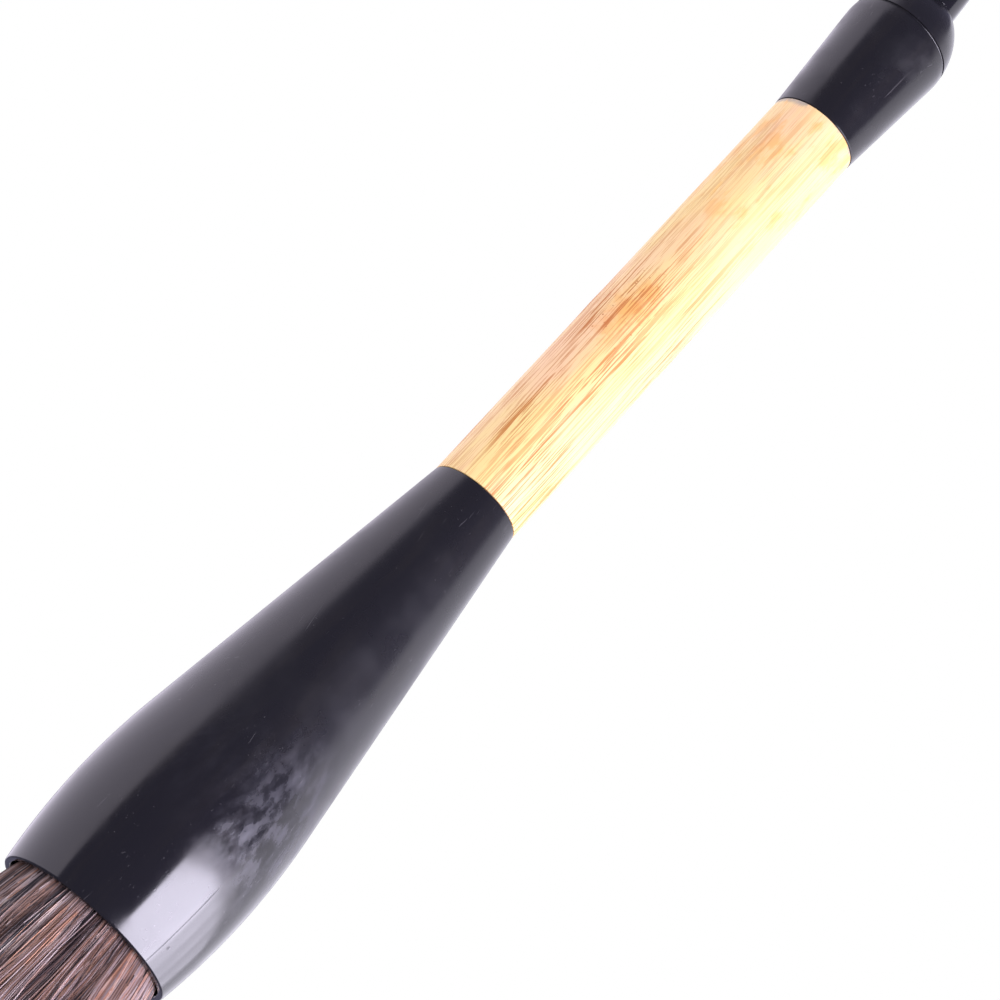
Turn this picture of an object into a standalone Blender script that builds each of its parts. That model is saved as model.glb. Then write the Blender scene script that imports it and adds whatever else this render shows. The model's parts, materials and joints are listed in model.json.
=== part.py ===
"""A large calligraphy brush that hangs by the eye at its top, with its tip down.

A turned horn ferrule and cap are doweled to a bamboo handle, and a tuft of hair is
bound, set in resin and seated in the ferrule. Metres, +Z up. The origin is the centre
of the hanging eye. Every level is worked out from the lengths of the pieces, and hair
is placed by its depth, which is how far it lies below the ferrule's mouth.
"""
import math

import bmesh
import bpy
from mathutils import Matrix

# Clearances.
SEAM = 0.0003  # between two pieces that are glued or seated together
HINGE_GAP = 0.0005  # between the ball and the socket of a place where the hair bends

# Lengths along the brush, from the top down.
EYE_BELOW_TOP = 0.0040
FINIAL_HEIGHT = 0.0160
CAP_LENGTH = 0.0250
HANDLE_LENGTH = 0.0685
FERRULE_LENGTH = 0.0707
TUFT_LENGTH = 0.0800

# Finial: a neck with a ball on it, drilled across for a hanging loop.
EYE_DIAMETER = 0.0024
NECK_FOOT_DIAMETER = 0.0073
NECK_WAIST_DIAMETER = 0.0060
SPIGOT_DIAMETER = 0.0042
SPIGOT_LENGTH = 0.0065

# Cap: flares from the handle to a shoulder, then closes in a dome with a flat top.
CAP_PROUD = 0.00005  # how far its rim stands out from the bamboo
CAP_SHOULDER_DIAMETER = 0.0148
CAP_SHOULDER_BELOW_TOP = 0.0080
CAP_TOP_RIM = 0.00035  # flat ring around the foot of the neck
GROOVE_BELOW_TOP = 0.0066
GROOVE_WIDTH = 0.0005
GROOVE_DEPTH = 0.00025

# Handle: a peeled bamboo tube, closed inside at the culm's node.
HANDLE_TOP_DIAMETER = 0.0123
HANDLE_FOOT_DIAMETER = 0.0125
HANDLE_BORE = 0.0070
NODE_ABOVE_FERRULE = 0.0302
NODE_WALL = 0.0022

# Wooden dowels that hold the cap and the ferrule on the bamboo.
CAP_DOWEL_IN_CAP = 0.0120
CAP_DOWEL_IN_HANDLE = 0.0160
FERRULE_DOWEL_IN_FERRULE = 0.0180
FERRULE_DOWEL_IN_HANDLE = 0.0180
DOWEL_CHAMFER = 0.0005

# Ferrule: a cone that runs into a long arc, whose widest point is the belly.
FERRULE_PROUD = 0.0
FERRULE_BELLY_DIAMETER = 0.0261
FERRULE_BELLY_ABOVE_MOUTH = 0.0135
FERRULE_ARC_RADIUS = 0.0890
LIP_THICKNESS = 0.0008
LIP_ROUND = 0.0003

# Bound root of the tuft, inside the ferrule's socket.
KNOT_DIAMETER = 0.0150
KNOT_LENGTH = 0.0100
ROOT_HAIR_LENGTH = 0.0140  # loose hair between the knot and the mouth
RESIN_THICKNESS = 0.0030
RESIN_SKIRT = 0.0022  # how far the resin comes down around the knot
THREAD_DIAMETER = 0.0008
THREAD_TURNS = 5
THREAD_PITCH = 0.0011

# Hair below the mouth.
HAIR_BELLY_DIAMETER = 0.0270
HAIR_BELLY_DEPTH = 0.0200
HAIR_TIP_DIAMETER = 0.0010
TAPER_FULLNESS = 1.6  # how long the tuft stays full before it narrows
TAPER_POINT = 0.9  # below 1 the end is blunt, above 1 it is drawn out
CORE_SHARE = 0.5  # the core's share of the tuft's radius
MANTLE_SHORT = 0.0100  # how far above the tip the outer hair ends
MANTLE_EDGE = 0.0006  # thickness of the outer hair where it ends
BALL_SHARE = 0.86  # a ball's radius as a share of the tuft's there
SHOULDER_RISE = 0.0013  # from a bend's centre up to the shoulder around its ball
BEND_MARGIN = 4.0  # degrees that a socket leaves free past the bend's limit

# Places where the tuft bends. The two lower ones lie a share of the way down its taper.
BELLY_BEND_DEPTH = 0.0100
WAIST_BEND_SHARE = 0.25
TIP_BEND_SHARE = 0.58
BELLY_BEND_LIMIT = 20.0
WAIST_BEND_LIMIT = 26.0
TIP_BEND_LIMIT = 30.0

# Levels, as heights on Z.
CAP_TOP_Z = EYE_BELOW_TOP - FINIAL_HEIGHT
CAP_FOOT_Z = CAP_TOP_Z - CAP_LENGTH
FERRULE_TOP_Z = CAP_FOOT_Z - HANDLE_LENGTH
MOUTH_Z = FERRULE_TOP_Z - FERRULE_LENGTH

# Radii that more than one piece uses.
BORE_RADIUS = HANDLE_BORE / 2
DOWEL_RADIUS = BORE_RADIUS - SEAM
FERRULE_TOP_RADIUS = HANDLE_FOOT_DIAMETER / 2 + FERRULE_PROUD
KNOT_RADIUS = KNOT_DIAMETER / 2
SOCKET_FLOOR_RADIUS = KNOT_RADIUS + THREAD_DIAMETER + 2 * SEAM
SOCKET_DEPTH = ROOT_HAIR_LENGTH + KNOT_LENGTH + RESIN_THICKNESS + 3 * SEAM
ARC_DROP = FERRULE_ARC_RADIUS - math.sqrt(FERRULE_ARC_RADIUS ** 2 - FERRULE_BELLY_ABOVE_MOUTH ** 2)
MOUTH_RADIUS = FERRULE_BELLY_DIAMETER / 2 - ARC_DROP
SOCKET_MOUTH_RADIUS = MOUTH_RADIUS - LIP_THICKNESS
HAIR_MOUTH_RADIUS = SOCKET_MOUTH_RADIUS - SEAM

# Bends, as the depth of the centre and the limit in degrees.
TAPER_LENGTH = TUFT_LENGTH - HAIR_BELLY_DEPTH
BELLY_BEND = (BELLY_BEND_DEPTH, BELLY_BEND_LIMIT)
WAIST_BEND = (HAIR_BELLY_DEPTH + WAIST_BEND_SHARE * TAPER_LENGTH, WAIST_BEND_LIMIT)
TIP_BEND = (HAIR_BELLY_DEPTH + TIP_BEND_SHARE * TAPER_LENGTH, TIP_BEND_LIMIT)

# Steps of turned shapes, around the axis and along a curve.
SIDES_LARGE = 40
SIDES_SMALL = 24
SIDES_CORE = 20
CURVE_STEPS = 8
GENTLE_STEPS = 4
LIP_STEPS = 3
THREAD_POINTS_PER_TURN = 20
SHARP_ANGLE = math.radians(35)
MEETING_ROUNDS = 30  # of the search for where two surfaces meet
MERGE_DISTANCE = 1e-6

# Colours, linear.
BLACK_HORN = (0.018, 0.017, 0.022)
BAMBOO = (0.86, 0.60, 0.30)
DOWEL_WOOD = (0.62, 0.42, 0.22)
AMBER_RESIN = (0.30, 0.13, 0.03)
FUSED_HAIR = (0.10, 0.07, 0.05)
LINEN = (0.55, 0.50, 0.42)
DARK_HAIR = (0.16, 0.11, 0.09)
BROWN_HAIR = (0.28, 0.18, 0.15)


def clear_scene():
    """Start from an empty scene."""
    for thing in list(bpy.data.objects):
        bpy.data.objects.remove(thing, do_unlink=True)


def finish(name, colour, roughness, metallic=0.0):
    """A plain material for one piece."""
    material = bpy.data.materials.new(name)
    material.use_nodes = True
    shader = material.node_tree.nodes["Principled BSDF"]
    shader.inputs["Base Color"].default_value = (*colour, 1.0)
    shader.inputs["Roughness"].default_value = roughness
    shader.inputs["Metallic"].default_value = metallic
    return material


def steps(start, end, count):
    """Evenly spaced values from start to end, both included."""
    return [start + (end - start) * i / count for i in range(count + 1)]


def turned(name, outline, sides, material):
    """A solid of revolution about Z from an outline of (radius, z) points.

    The outline runs from one point on the axis to another, or around a ring's
    section. Its first point is repeated at the end when it is a ring.
    """
    mesh = bmesh.new()
    points = [mesh.verts.new((radius, 0.0, z)) for radius, z in outline]
    edges = [mesh.edges.new(pair) for pair in zip(points, points[1:])]
    bmesh.ops.spin(mesh, geom=points + edges, cent=(0, 0, 0), axis=(0, 0, 1),
                   angle=math.tau, steps=sides, use_merge=True)
    bmesh.ops.remove_doubles(mesh, verts=mesh.verts, dist=MERGE_DISTANCE)
    bmesh.ops.recalc_face_normals(mesh, faces=mesh.faces)
    data = bpy.data.meshes.new(name)
    mesh.to_mesh(data)
    mesh.free()
    return place(name, data, material)


def place(name, data, material):
    """Put mesh or curve data in the scene under its piece's name."""
    data.materials.append(material)
    piece = bpy.data.objects.new(name, data)
    bpy.context.scene.collection.objects.link(piece)
    if isinstance(data, bpy.types.Mesh):
        data.shade_smooth()
        data.set_sharp_from_angle(angle=SHARP_ANGLE)
    return piece


def ferrule_cone():
    """Slope and length of the ferrule's cone, the tangent from its top rim to its arc."""
    along = FERRULE_LENGTH - FERRULE_BELLY_ABOVE_MOUTH
    rise = FERRULE_BELLY_DIAMETER / 2 - FERRULE_ARC_RADIUS - FERRULE_TOP_RADIUS
    reach = math.hypot(along, rise)
    slope = math.atan2(rise, along) + math.asin(FERRULE_ARC_RADIUS / reach)
    length = math.sqrt(reach ** 2 - FERRULE_ARC_RADIUS ** 2) * math.cos(slope)
    return math.tan(slope), length


def ferrule_radius(below_top):
    """Outer radius of the ferrule at a distance below its top rim."""
    slope, cone_length = ferrule_cone()
    if below_top < cone_length:
        return FERRULE_TOP_RADIUS + below_top * slope
    along = below_top - (FERRULE_LENGTH - FERRULE_BELLY_ABOVE_MOUTH)
    arc = math.sqrt(FERRULE_ARC_RADIUS ** 2 - along ** 2)
    return FERRULE_BELLY_DIAMETER / 2 - FERRULE_ARC_RADIUS + arc


def socket_radius(above_mouth):
    """Inner radius of the ferrule's socket at a height above the mouth."""
    share = above_mouth / SOCKET_DEPTH
    return SOCKET_MOUTH_RADIUS + (SOCKET_FLOOR_RADIUS - SOCKET_MOUTH_RADIUS) * share


def hair_radius(depth):
    """Outer radius of the tuft at a depth below the mouth, negative inside the ferrule."""
    belly = HAIR_BELLY_DIAMETER / 2
    if depth > HAIR_BELLY_DEPTH:
        tip = HAIR_TIP_DIAMETER / 2
        share = min((depth - HAIR_BELLY_DEPTH) / TAPER_LENGTH, 1.0)
        return tip + (belly - tip) * (1 - share ** TAPER_FULLNESS) ** TAPER_POINT
    if depth > 0:
        share = 1 - depth / HAIR_BELLY_DEPTH
        return belly + (HAIR_MOUTH_RADIUS - belly) * share ** 2
    share = -depth / ROOT_HAIR_LENGTH
    return HAIR_MOUTH_RADIUS + (KNOT_RADIUS - HAIR_MOUTH_RADIUS) * share


def core_radius(depth):
    """Radius of the stiff inner hair at a depth."""
    return CORE_SHARE * hair_radius(depth)


def hair_z(depth):
    """Height of a depth below the ferrule's mouth."""
    return MOUTH_Z - depth


def finial():
    """Turned neck and ball, with a spigot below and the eye drilled across the ball."""
    foot_z = CAP_TOP_Z + SEAM
    foot = NECK_FOOT_DIAMETER / 2
    waist = NECK_WAIST_DIAMETER / 2
    spigot = SPIGOT_DIAMETER / 2
    outline = [(0, CAP_TOP_Z - SPIGOT_LENGTH), (spigot, CAP_TOP_Z - SPIGOT_LENGTH),
               (spigot, foot_z), (foot, foot_z)]
    neck_end = math.asin(waist / EYE_BELOW_TOP)
    for angle in steps(neck_end, math.pi, 2 * CURVE_STEPS):
        outline.append((EYE_BELOW_TOP * math.sin(angle), -EYE_BELOW_TOP * math.cos(angle)))
    outline[-1] = (0, EYE_BELOW_TOP)
    piece = turned("finial", outline, SIDES_SMALL, finish("finial", BLACK_HORN, 0.28))
    drill_eye(piece)
    return piece


def drill_eye(piece):
    """Bore the hanging eye through the ball, along Y."""
    mesh = bmesh.new()
    bmesh.ops.create_cone(mesh, cap_ends=True, segments=SIDES_SMALL, radius1=EYE_DIAMETER / 2,
                          radius2=EYE_DIAMETER / 2, depth=4 * EYE_BELOW_TOP,
                          matrix=Matrix.Rotation(math.pi / 2, 4, "X"))
    data = bpy.data.meshes.new("eye_drill")
    mesh.to_mesh(data)
    mesh.free()
    cutter = bpy.data.objects.new("eye_drill", data)
    bpy.context.scene.collection.objects.link(cutter)
    cutter.hide_render = True
    cutter.display_type = "WIRE"
    cut = piece.modifiers.new("eye", "BOOLEAN")
    cut.operation = "DIFFERENCE"
    cut.object = cutter


def end_cap():
    """Turned cap: bore for the dowel below, seat for the finial above, fine groove outside."""
    rim = HANDLE_TOP_DIAMETER / 2 + CAP_PROUD
    shoulder = CAP_SHOULDER_DIAMETER / 2
    top = NECK_FOOT_DIAMETER / 2 + CAP_TOP_RIM
    # The dome is an elliptical arc from the shoulder, measured by its angle.
    top_angle = math.acos(top / shoulder)
    dome = CAP_SHOULDER_BELOW_TOP / math.sin(top_angle)
    seat = SPIGOT_DIAMETER / 2 + SEAM
    seat_z = CAP_TOP_Z - SPIGOT_LENGTH - SEAM
    bore_z = CAP_FOOT_Z + CAP_DOWEL_IN_CAP + SEAM

    def angle_at(below_top):
        return math.asin((CAP_SHOULDER_BELOW_TOP - below_top) / dome)

    def dome_arc(start, end, count):
        return [(shoulder * math.cos(angle),
                 CAP_TOP_Z - CAP_SHOULDER_BELOW_TOP + dome * math.sin(angle))
                for angle in steps(start, end, count)]

    groove_foot = angle_at(GROOVE_BELOW_TOP + GROOVE_WIDTH / 2)
    groove_top = angle_at(GROOVE_BELOW_TOP - GROOVE_WIDTH / 2)
    groove_radius = shoulder * math.cos(angle_at(GROOVE_BELOW_TOP)) - GROOVE_DEPTH
    outline = [(0, bore_z), (BORE_RADIUS, bore_z), (BORE_RADIUS, CAP_FOOT_Z), (rim, CAP_FOOT_Z)]
    outline += dome_arc(0, groove_foot, 1)
    outline.append((groove_radius, CAP_TOP_Z - GROOVE_BELOW_TOP))
    outline += dome_arc(groove_top, top_angle, CURVE_STEPS)
    outline += [(seat, CAP_TOP_Z), (seat, seat_z), (0, seat_z)]
    return turned("end_cap", outline, SIDES_LARGE, finish("end_cap", BLACK_HORN, 0.28))


def bamboo_handle():
    """Bamboo tube with a blind bore in each end and the culm's node wall between them."""
    top_z = CAP_FOOT_Z - SEAM
    foot_z = FERRULE_TOP_Z + SEAM
    node_z = FERRULE_TOP_Z + NODE_ABOVE_FERRULE
    outline = [(0, node_z - NODE_WALL / 2), (BORE_RADIUS, node_z - NODE_WALL / 2),
               (BORE_RADIUS, foot_z), (HANDLE_FOOT_DIAMETER / 2, foot_z),
               (HANDLE_TOP_DIAMETER / 2, top_z), (BORE_RADIUS, top_z),
               (BORE_RADIUS, node_z + NODE_WALL / 2), (0, node_z + NODE_WALL / 2)]
    return turned("bamboo_handle", outline, SIDES_LARGE, finish("bamboo_handle", BAMBOO, 0.45))


def dowel(name, seam_z, up, down):
    """Wooden dowel across a seam, with its two lengths above and below that level."""
    low = seam_z - down
    high = seam_z + up
    inner = DOWEL_RADIUS - DOWEL_CHAMFER
    outline = [(0, low), (inner, low), (DOWEL_RADIUS, low + DOWEL_CHAMFER),
               (DOWEL_RADIUS, high - DOWEL_CHAMFER), (inner, high), (0, high)]
    return turned(name, outline, SIDES_SMALL, finish(name, DOWEL_WOOD, 0.7))


def ferrule():
    """Turned ferrule: bore for the dowel above, tapered socket for the tuft below."""
    bore_z = FERRULE_TOP_Z - FERRULE_DOWEL_IN_FERRULE - SEAM
    floor_z = MOUTH_Z + SOCKET_DEPTH
    outline = [(0, bore_z), (BORE_RADIUS, bore_z), (BORE_RADIUS, FERRULE_TOP_Z)]
    outline.append((FERRULE_TOP_RADIUS, FERRULE_TOP_Z))
    lip_start = FERRULE_LENGTH - LIP_ROUND
    for below in steps(ferrule_cone()[1], lip_start, CURVE_STEPS):
        outline.append((ferrule_radius(below), FERRULE_TOP_Z - below))

    def lip_arc(centre, start, end):
        return [(centre + LIP_ROUND * math.cos(angle), MOUTH_Z + LIP_ROUND * (1 - math.sin(angle)))
                for angle in steps(start, end, LIP_STEPS)]

    outline += lip_arc(ferrule_radius(lip_start) - LIP_ROUND, 0, math.pi / 2)[1:]
    outline += lip_arc(socket_radius(LIP_ROUND) + LIP_ROUND, math.pi / 2, math.pi)
    outline += [(SOCKET_FLOOR_RADIUS, floor_z), (0, floor_z)]
    return turned("ferrule", outline, SIDES_LARGE, finish("ferrule", BLACK_HORN, 0.25))


def seat_resin():
    """Cast resin that beds the knot: a disc on the socket's floor with a short skirt."""
    top = SOCKET_DEPTH - SEAM
    under = top - RESIN_THICKNESS
    skirt = under - RESIN_SKIRT
    inner = KNOT_RADIUS + SEAM
    outline = [(0, hair_z(-under)), (inner, hair_z(-under)), (inner, hair_z(-skirt)),
               (socket_radius(skirt) - SEAM, hair_z(-skirt)),
               (socket_radius(top) - SEAM, hair_z(-top)), (0, hair_z(-top))]
    return turned("seat_resin", outline, SIDES_SMALL, finish("seat_resin", AMBER_RESIN, 0.2))


def root_knot():
    """The hair's bound and fused root, a short cylinder."""
    low = ROOT_HAIR_LENGTH + SEAM
    high = low + KNOT_LENGTH
    outline = [(0, hair_z(-low)), (KNOT_RADIUS, hair_z(-low)),
               (KNOT_RADIUS, hair_z(-high)), (0, hair_z(-high))]
    return turned("root_knot", outline, SIDES_SMALL, finish("root_knot", FUSED_HAIR, 0.6))


def root_thread():
    """Thread wound around the knot below the resin's skirt."""
    radius = KNOT_RADIUS + SEAM + THREAD_DIAMETER / 2
    start = ROOT_HAIR_LENGTH + SEAM + THREAD_DIAMETER / 2
    count = THREAD_TURNS * THREAD_POINTS_PER_TURN
    curve = bpy.data.curves.new("root_thread", "CURVE")
    curve.dimensions = "3D"
    curve.bevel_depth = THREAD_DIAMETER / 2
    curve.bevel_resolution = 1
    curve.use_fill_caps = True
    spline = curve.splines.new("POLY")
    spline.points.add(count)
    for i in range(count + 1):
        turn = math.tau * i / THREAD_POINTS_PER_TURN
        height = start + THREAD_PITCH * i / THREAD_POINTS_PER_TURN
        spline.points[i].co = (radius * math.cos(turn), radius * math.sin(turn),
                               hair_z(-height), 1.0)
    return place("root_thread", curve, finish("root_thread", LINEN, 0.8))


def ball_of(bend):
    """Depth of a bend's centre, its ball's radius and its limit in degrees."""
    depth, limit = bend
    return depth, BALL_SHARE * hair_radius(depth), limit


def sphere_arc(depth, radius, inner, outer):
    """Points down a sphere's lower half, from one distance off the axis to another."""
    arc = []
    for angle in steps(math.asin(inner / radius), math.asin(outer / radius), CURVE_STEPS):
        arc.append((radius * math.sin(angle), hair_z(depth + radius * math.cos(angle))))
    return arc


def meeting(bend, gap, layer):
    """Distance off the axis where a layer's surface meets the sphere of a bend."""
    depth, ball, _ = ball_of(bend)
    sphere = ball + gap
    radius = layer(depth)
    for _ in range(MEETING_ROUNDS):
        radius = layer(depth + math.sqrt(sphere ** 2 - radius ** 2))
    return radius


def core_with_gap(depth):
    """Inner radius of the outer hair, which leaves a seam around the core."""
    return core_radius(depth) + SEAM


def core_hair(name, upper, lower):
    """Stiff inner hair between two bends, or from the knot, or down to the tip."""
    if upper is None:
        top = -ROOT_HAIR_LENGTH
        outline = [(0, hair_z(top)), (core_radius(top), hair_z(top))]
    else:
        depth, ball, _ = ball_of(upper)
        edge = meeting(upper, HINGE_GAP, core_radius)
        outline = sphere_arc(depth, ball + HINGE_GAP, 0, edge)
        top = depth + math.sqrt((ball + HINGE_GAP) ** 2 - edge ** 2)
    if lower is None:
        full = TUFT_LENGTH - MANTLE_SHORT
        tip_core = core_radius(full)
        outline += [(core_radius(at), hair_z(at)) for at in steps(top, full, GENTLE_STEPS)[1:]]
        for share in steps(0, 1, GENTLE_STEPS)[1:-1]:
            outline.append((tip_core * math.sqrt(1 - share), hair_z(full + MANTLE_SHORT * share)))
        outline.append((0, hair_z(TUFT_LENGTH)))
    else:
        depth, ball, _ = ball_of(lower)
        edge = meeting(lower, 0, core_radius)
        bottom = depth + math.sqrt(ball ** 2 - edge ** 2)
        outline += [(core_radius(at), hair_z(at)) for at in steps(top, bottom, GENTLE_STEPS)[1:-1]]
        outline += reversed(sphere_arc(depth, ball, 0, edge))
    return turned(name, outline, SIDES_CORE, finish(name, DARK_HAIR, 0.6))


def mantle_hair(name, upper, lower):
    """Outer hair around one length of core, with a socket above and a ball below."""
    if upper is None:
        top = -ROOT_HAIR_LENGTH
        outer_top = 0
        outline = [(core_with_gap(top), hair_z(top)), (hair_radius(top), hair_z(top)),
                   (hair_radius(outer_top), hair_z(outer_top))]
    else:
        depth, ball, limit = ball_of(upper)
        sphere = ball + HINGE_GAP
        free = math.radians(limit + BEND_MARGIN)
        inner = meeting(upper, HINGE_GAP, core_with_gap)
        outline = sphere_arc(depth, sphere, inner, sphere * math.cos(free))
        top = depth + math.sqrt(sphere ** 2 - inner ** 2)
        outer_top = depth + sphere * math.sin(free)
        outline.append((hair_radius(outer_top), hair_z(outer_top)))
    if lower is None:
        end = TUFT_LENGTH - MANTLE_SHORT
        outline += [(hair_radius(at), hair_z(at)) for at in steps(outer_top, end, GENTLE_STEPS)[1:-1]]
        outline.append((core_with_gap(end) + MANTLE_EDGE, hair_z(end)))
        outline.append((core_with_gap(end), hair_z(end)))
        bottom = end
    else:
        depth, ball, _ = ball_of(lower)
        shoulder = depth - SHOULDER_RISE
        outline += [(hair_radius(at), hair_z(at)) for at in steps(outer_top, shoulder, GENTLE_STEPS)[1:]]
        outline.append((math.sqrt(ball ** 2 - SHOULDER_RISE ** 2), hair_z(shoulder)))
        edge = meeting(lower, 0, core_with_gap)
        bottom = depth + math.sqrt(ball ** 2 - edge ** 2)
        outline += reversed(sphere_arc(depth, ball, edge, ball))
    outline += [(core_with_gap(at), hair_z(at)) for at in steps(bottom, top, GENTLE_STEPS)[1:-1]]
    outline.append(outline[0])
    return turned(name, outline, SIDES_SMALL, finish(name, BROWN_HAIR, 0.65))


def tuft():
    """Four lengths of hair, each a core and a mantle, joined at the three bends."""
    bends = [None, BELLY_BEND, WAIST_BEND, TIP_BEND, None]
    for part, upper, lower in zip(("base", "belly", "waist", "tip"), bends, bends[1:]):
        core_hair(part + "_core_hair", upper, lower)
        mantle_hair(part + "_mantle_hair", upper, lower)


def build():
    """Every piece, from the top of the brush down."""
    clear_scene()
    finial()
    end_cap()
    dowel("cap_dowel", CAP_FOOT_Z, CAP_DOWEL_IN_CAP, CAP_DOWEL_IN_HANDLE)
    bamboo_handle()
    dowel("ferrule_dowel", FERRULE_TOP_Z, FERRULE_DOWEL_IN_HANDLE, FERRULE_DOWEL_IN_FERRULE)
    ferrule()
    seat_resin()
    root_knot()
    root_thread()
    tuft()


build()
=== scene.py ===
import json
import math
from collections import namedtuple

import bmesh
import bpy
import numpy as np
from mathutils import Matrix, Vector

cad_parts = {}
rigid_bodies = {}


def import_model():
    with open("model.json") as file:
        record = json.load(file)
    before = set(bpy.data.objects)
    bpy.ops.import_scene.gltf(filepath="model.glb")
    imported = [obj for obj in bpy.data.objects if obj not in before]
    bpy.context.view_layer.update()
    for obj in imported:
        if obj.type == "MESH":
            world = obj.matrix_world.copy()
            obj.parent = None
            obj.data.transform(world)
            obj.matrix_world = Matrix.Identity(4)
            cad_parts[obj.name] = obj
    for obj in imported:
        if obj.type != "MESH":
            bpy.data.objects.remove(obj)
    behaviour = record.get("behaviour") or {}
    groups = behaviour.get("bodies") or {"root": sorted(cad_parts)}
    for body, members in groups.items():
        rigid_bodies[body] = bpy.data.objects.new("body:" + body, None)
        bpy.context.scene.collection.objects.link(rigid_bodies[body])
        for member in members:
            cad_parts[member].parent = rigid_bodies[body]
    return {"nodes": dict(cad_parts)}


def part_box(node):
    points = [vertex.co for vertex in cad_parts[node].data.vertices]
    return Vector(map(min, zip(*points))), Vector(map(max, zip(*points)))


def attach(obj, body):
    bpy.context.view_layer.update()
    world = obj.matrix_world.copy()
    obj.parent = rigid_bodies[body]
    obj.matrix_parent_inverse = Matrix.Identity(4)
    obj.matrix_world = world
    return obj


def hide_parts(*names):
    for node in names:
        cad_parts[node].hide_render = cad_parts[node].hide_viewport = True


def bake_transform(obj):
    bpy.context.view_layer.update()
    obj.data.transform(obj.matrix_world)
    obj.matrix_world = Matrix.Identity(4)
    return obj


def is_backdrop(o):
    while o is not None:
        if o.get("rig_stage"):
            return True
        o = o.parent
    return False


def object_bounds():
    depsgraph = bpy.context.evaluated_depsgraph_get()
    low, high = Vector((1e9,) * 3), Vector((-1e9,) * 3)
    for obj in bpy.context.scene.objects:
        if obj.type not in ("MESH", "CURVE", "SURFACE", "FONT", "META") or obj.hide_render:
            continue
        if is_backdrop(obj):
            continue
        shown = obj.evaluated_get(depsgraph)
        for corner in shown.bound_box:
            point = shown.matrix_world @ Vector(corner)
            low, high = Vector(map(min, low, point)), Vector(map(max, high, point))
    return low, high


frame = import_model()
cad_low, cad_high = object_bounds()


# --- Finial -------------------------------------------------------------------
# A small ball on a neck, turned from black horn and polished. Its spigot is glued into
# the cap, and an eye with eased rims is drilled across the ball for a hanging loop.

EYE_RADIUS = 0.0012
BALL_RADIUS = 0.0040
NECK_FOOT_RADIUS = 0.00365
NECK_WAIST_RADIUS = 0.0030
SPIGOT_RADIUS = 0.0021
SPIGOT_LENGTH = 0.0062
TURNED_SIDES = 160
SEAM_GAP = 0.00008
SPIGOT_EASE = 0.0003
NECK_FOOT_EASE = 0.00022
NECK_EASE = 0.0006
BALL_SEAM = 0.16
BALL_STEPS = 40
DRILL_HALF_LENGTH = 0.006
DRILL_STRAIGHT_HALF = 0.0030
DRILL_FLARE = 420
DRILL_RINGS = 61
DRILL_SIDES = 72
OUTLINE_STEP = 0.0016
FILLET_STEPS = 7
FILLET_LEAD = 1.35
FILLET_LIMIT = 0.45
SHARP_EDGE = math.radians(38)
HORN_IOR = 1.54
# The scale of a pattern, here and below, is in marks per metre: twice across, once along.
HORN_GRAIN = (420.0, 420.0, 22.0)
HORN_BLACK = (0.0052, 0.0046, 0.0075)
HORN_BROWN = (0.0085, 0.0070, 0.0085)
DUST_GREY = (0.16, 0.15, 0.17)


def eased(corners, step=OUTLINE_STEP):
    """A turned outline from (radius, z, fillet) corners, with rounded corners and even runs."""
    points = []
    for i, (r, z, fillet) in enumerate(corners):
        here = np.array((r, z), float)
        if fillet == 0 or i in (0, len(corners) - 1):
            points.append(here)
            continue
        back = np.array(corners[i - 1][:2], float) - here
        ahead = np.array(corners[i + 1][:2], float) - here
        u, v = back / np.linalg.norm(back), ahead / np.linalg.norm(ahead)
        half = math.acos(max(-1.0, min(1.0, float(u @ v)))) / 2
        shorter = min(np.linalg.norm(back), np.linalg.norm(ahead))
        run = min(fillet / math.tan(half), FILLET_LIMIT * shorter)
        start, end = here + u * run, here + v * run
        points.append(here + u * run * FILLET_LEAD)
        for t in np.linspace(0, 1, FILLET_STEPS):
            points.append(start * (1 - t) ** 2 + here * 2 * t * (1 - t) + end * t ** 2)
        points.append(here + v * run * FILLET_LEAD)
    full = [points[0]]
    for a, b in zip(points, points[1:]):
        parts = max(1, math.ceil(np.linalg.norm(b - a) / step))
        full += [a + (b - a) * k / parts for k in range(1, parts + 1)]
    return full


def faced_out(mesh, data):
    """Turn a mesh's faces outwards and store it as mesh data."""
    bmesh.ops.recalc_face_normals(mesh, faces=mesh.faces)
    mesh.to_mesh(data)
    mesh.free()
    return data


def turned(name, outline, material, sides=TURNED_SIDES):
    """Turn an outline of (radius, z) about the brush's axis into one closed smooth solid."""
    mesh = bmesh.new()
    rings = []
    for r, z in outline:
        if math.isclose(r, 0, abs_tol=1e-7):
            rings.append([mesh.verts.new((0, 0, z))])
        else:
            rings.append([mesh.verts.new((r * math.cos(a), r * math.sin(a), z))
                          for a in np.linspace(0, math.tau, sides, endpoint=False)])
    for a, b in zip(rings, rings[1:]):
        for k in range(sides):
            n = (k + 1) % sides
            loop = [a[k % len(a)], a[n % len(a)], b[n % len(b)], b[k % len(b)]]
            kept = [v for i, v in enumerate(loop) if v not in loop[:i]]
            if len(kept) > 2:
                mesh.faces.new(kept)
    return placed(name, faced_out(mesh, bpy.data.meshes.new(name)), material)


def placed(name, data, material):
    """Show mesh data as a smooth piece at the origin, in one material."""
    data.materials.clear()
    data.materials.append(material)
    data.shade_smooth()
    data.set_sharp_from_angle(angle=SHARP_EDGE)
    piece = bpy.data.objects.new(name, data)
    bpy.context.scene.collection.objects.link(piece)
    return piece


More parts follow.
